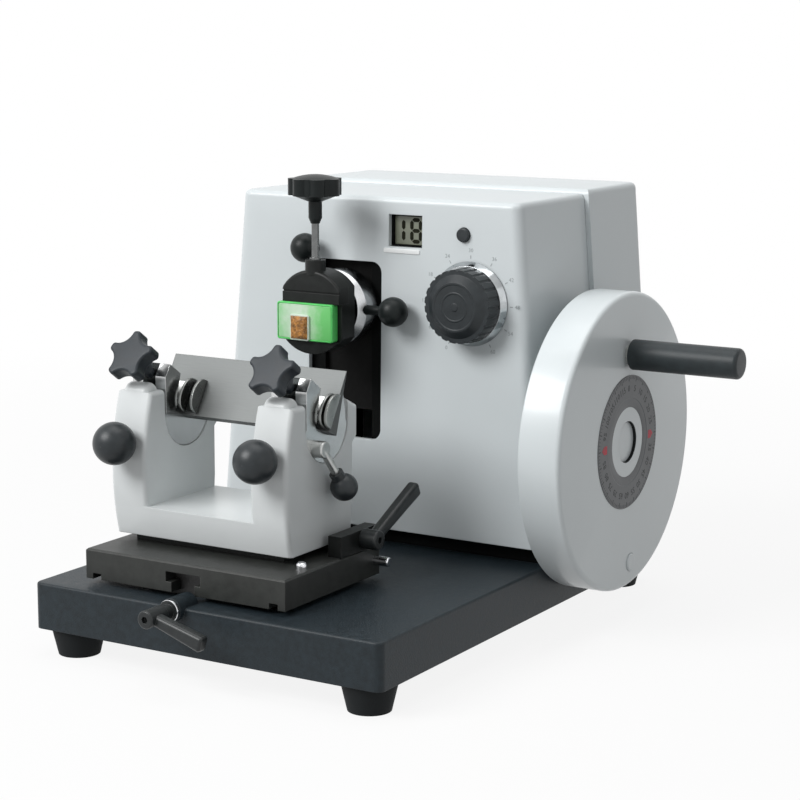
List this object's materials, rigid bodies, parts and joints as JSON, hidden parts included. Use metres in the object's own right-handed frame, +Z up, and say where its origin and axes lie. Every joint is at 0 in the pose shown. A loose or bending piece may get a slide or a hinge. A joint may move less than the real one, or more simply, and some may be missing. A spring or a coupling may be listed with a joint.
{
  "type": "rotary microtome",
  "caption": "Bench instrument with a side handwheel that strokes a clamped specimen past a knife held between towers on a sliding carriage.",
  "frame": {"origin": "on the table, below the middle of the machine's overall length and depth", "axes": "+X towards the handwheel, +Y from the knife to the casing's back, +Z up"},
  "size_m": [0.363, 0.38, 0.2808],
  "materials": {
    "base_paint": "fine hammered charcoal enamel",
    "rubber": "matt black",
    "ground_steel": "ground",
    "carriage_finish": "dark satin enamel",
    "black_oxide": "black satin",
    "casing_paint": "pale blue-grey enamel",
    "cover_paint": "pale blue-grey enamel",
    "holder_paint": "pale grey enamel",
    "screw_steel": "bright",
    "bronze": "turned bronze",
    "slide_iron": "machined",
    "arm_steel": "ground",
    "chrome": "polished",
    "head_black": "black anodised",
    "cassette_green": "moulded",
    "wax": "embedded tissue",
    "knob_black": "moulded",
    "star_grey": "moulded",
    "blade_steel": "honed",
    "lever_black": "black satin",
    "wheel_paint": "pale grey enamel",
    "ring_aluminium": "engraved",
    "display_black": "moulded",
    "seal_black": "matt",
    "button_grey": "moulded",
    "grip_black": "moulded"
  },
  "bodies": {
    "machine": {"base_plate": "base_paint", "rubber_feet": "rubber", "tee_rail": "ground_steel", "main_frame": "black_oxide", "main_bearings": "bronze", "guide_rods": "arm_steel", "front_shell": "casing_paint", "rear_cover": "cover_paint", "cover_screws": "screw_steel", "slot_seal": "seal_black", "display_module": "display_black"},
    "carriage": {"carriage_block": "carriage_finish", "cross_slide": "black_oxide", "lever_bracket": "black_oxide", "carriage_screw": "screw_steel", "stop_screw": "screw_steel"},
    "front_lever": {"front_lever": "lever_black"},
    "cross_lever": {"cross_lever": "lever_black"},
    "holder": {"holder_casting": "holder_paint"},
    "left_tower_knob": {"left_tower_knob": "knob_black"},
    "right_tower_knob": {"right_tower_knob": "knob_black"},
    "rocker": {"left_rocker": "black_oxide", "right_rocker": "black_oxide", "knife_blade": "blade_steel", "knife_clamps": "screw_steel"},
    "left_star": {"left_star_knob": "star_grey"},
    "right_star": {"right_star_knob": "star_grey"},
    "angle_lever": {"angle_lever": "screw_steel", "angle_lever_ball": "knob_black"},
    "slide": {"slide_block": "slide_iron", "slide_bushes": "bronze"},
    "arm": {"specimen_arm": "arm_steel", "arm_flange": "chrome"},
    "feed_screw": {"feed_screw": "screw_steel", "ratchet_wheel": "screw_steel"},
    "feed_pawl": {"feed_pawl": "screw_steel"},
    "ball": {"tilt_ball": "screw_steel"},
    "head": {"head_body": "head_black", "cassette": "cassette_green", "tissue_block": "wax"},
    "jaw": {"clamp_jaw": "head_black"},
    "spindle": {"clamp_spindle": "chrome", "spindle_knob": "knob_black"},
    "left_lock": {"left_lock_knob": "knob_black"},
    "right_lock": {"right_lock_knob": "knob_black"},
    "drive": {"handwheel": "wheel_paint", "hub_cap": "wheel_paint", "dial_ring": "ring_aluminium", "main_shaft": "screw_steel", "handle_stud": "screw_steel"},
    "grip": {"handle_grip": "grip_black"},
    "lock_pin": {"lock_pin": "screw_steel"},
    "coarse": {"coarse_wheel": "knob_black", "coarse_shaft": "screw_steel"},
    "dial": {"dial_knob": "knob_black", "dial_skirt": "chrome", "dial_cam": "screw_steel"},
    "button": {"push_button": "button_grey"}
  },
  "joints": [
    {"name": "handwheel_spin", "type": "hinge", "parent": "machine", "child": "drive", "pos_m": [0.0805, 0.078, 0.1177], "axis": [1, 0, 0], "continuous": true},
    {"name": "grip_spin", "type": "hinge", "parent": "drive", "child": "grip", "pos_m": [0.14, 0.078, 0.1727], "axis": [1, 0, 0], "continuous": true},
    {"name": "lock_pin_push", "type": "slide", "parent": "drive", "child": "lock_pin", "axis": [1, 0, 0], "range_m": [-0.005, 0]},
    {"name": "specimen_stroke", "type": "slide", "parent": "machine", "child": "slide", "axis": [0, 0, 1], "range_m": [-0.054, 0.002]},
    {"name": "coarse_wheel_spin", "type": "hinge", "parent": "machine", "child": "coarse", "pos_m": [-0.1645, 0.126, 0.155], "axis": [1, 0, 0], "range_deg": [0, 4320]},
    {"name": "feed_screw_spin", "type": "hinge", "parent": "slide", "child": "feed_screw", "pos_m": [-0.0655, 0.1, 0.1963], "axis": [0, 1, 0], "range_deg": [0, 4320]},
    {"name": "specimen_feed", "type": "slide", "parent": "slide", "child": "arm", "axis": [0, -1, 0], "range_m": [0, 0.024]},
    {"name": "feed_pawl_lift", "type": "hinge", "parent": "slide", "child": "feed_pawl", "pos_m": [-0.0515, 0.1045, 0.2273], "axis": [0, 1, 0], "range_deg": [0, 12]},
    {"name": "head_tilt", "type": "hinge", "parent": "arm", "child": "ball", "pos_m": [-0.0655, 0.015, 0.1963], "axis": [1, 0, 0], "range_deg": [-6, 6]},
    {"name": "head_swing", "type": "hinge", "parent": "ball", "child": "head", "pos_m": [-0.0655, 0.00175, 0.1963], "axis": [0, 0, 1], "range_deg": [-6, 6]},
    {"name": "clamp_jaw_lift", "type": "slide", "parent": "head", "child": "jaw", "axis": [0, 0, 1], "range_m": [0, 0.006]},
    {"name": "clamp_spindle_spin", "type": "hinge", "parent": "jaw", "child": "spindle", "pos_m": [-0.0655, -0.00725, 0.2403], "axis": [0, 0, 1], "range_deg": [0, 2160]},
    {"name": "right_lock_turn", "type": "hinge", "parent": "arm", "child": "right_lock", "pos_m": [-0.0355, 0.015, 0.1963], "axis": [1, 0, 0], "range_deg": [0, 270]},
    {"name": "left_lock_turn", "type": "hinge", "parent": "arm", "child": "left_lock", "pos_m": [-0.0814, 0.015, 0.22174], "axis": [-0.5299, 0, 0.848], "range_deg": [0, 270]},
    {"name": "thickness_dial_turn", "type": "hinge", "parent": "machine", "child": "dial", "pos_m": [0.025, 0.02, 0.2035], "axis": [0, 1, 0], "range_deg": [0, 300]},
    {"name": "display_button", "type": "slide", "parent": "machine", "child": "button", "axis": [0, 1, 0], "range_m": [0, 0.0015], "stiffness_N_per_m": 300},
    {"name": "carriage_slide", "type": "slide", "parent": "machine", "child": "carriage", "axis": [0, 1, 0], "range_m": [0, 0.014]},
    {"name": "holder_cross_slide", "type": "slide", "parent": "carriage", "child": "holder", "axis": [1, 0, 0], "range_m": [-0.0045, 0.0045]},
    {"name": "front_lever_turn", "type": "hinge", "parent": "machine", "child": "front_lever", "pos_m": [-0.06, -0.172, 0.044], "axis": [0, -1, 0], "range_deg": [-20, 90]},
    {"name": "cross_lever_turn", "type": "hinge", "parent": "carriage", "child": "cross_lever", "pos_m": [0.0095, -0.0645, 0.0733], "axis": [1, 0, 0], "range_deg": [-20, 50]},
    {"name": "left_tower_knob_turn", "type": "hinge", "parent": "holder", "child": "left_tower_knob", "pos_m": [-0.12175, -0.122, 0.129], "axis": [0, 1, 0], "range_deg": [0, 270]},
    {"name": "right_tower_knob_turn", "type": "hinge", "parent": "holder", "child": "right_tower_knob", "pos_m": [-0.02125, -0.122, 0.129], "axis": [0, 1, 0], "range_deg": [0, 270]},
    {"name": "knife_tilt", "type": "hinge", "parent": "holder", "child": "rocker", "pos_m": [-0.0715, -0.082, 0.1425], "axis": [1, 0, 0], "range_deg": [-8, 4]},
    {"name": "left_star_turn", "type": "hinge", "parent": "rocker", "child": "left_star", "pos_m": [-0.12175, -0.118, 0.1775], "axis": [0, 0.8192, -0.5736], "range_deg": [0, 360]},
    {"name": "right_star_turn", "type": "hinge", "parent": "rocker", "child": "right_star", "pos_m": [-0.02125, -0.118, 0.1775], "axis": [0, 0.8192, -0.5736], "range_deg": [0, 360]},
    {"name": "angle_lever_turn", "type": "hinge", "parent": "rocker", "child": "angle_lever", "pos_m": [-0.0055, -0.0938, 0.1305], "axis": [1, 0, 0], "range_deg": [-25, 25]}
  ],
  "couplings": [
    {"joint": "feed_screw_spin", "follows": "specimen_feed", "rad_per_m": 3141.5},
    {"joint": "coarse_wheel_spin", "follows": "specimen_feed", "rad_per_m": 3141.5},
    {"joint": "clamp_spindle_spin", "follows": "clamp_jaw_lift", "rad_per_m": 6283}
  ]
}
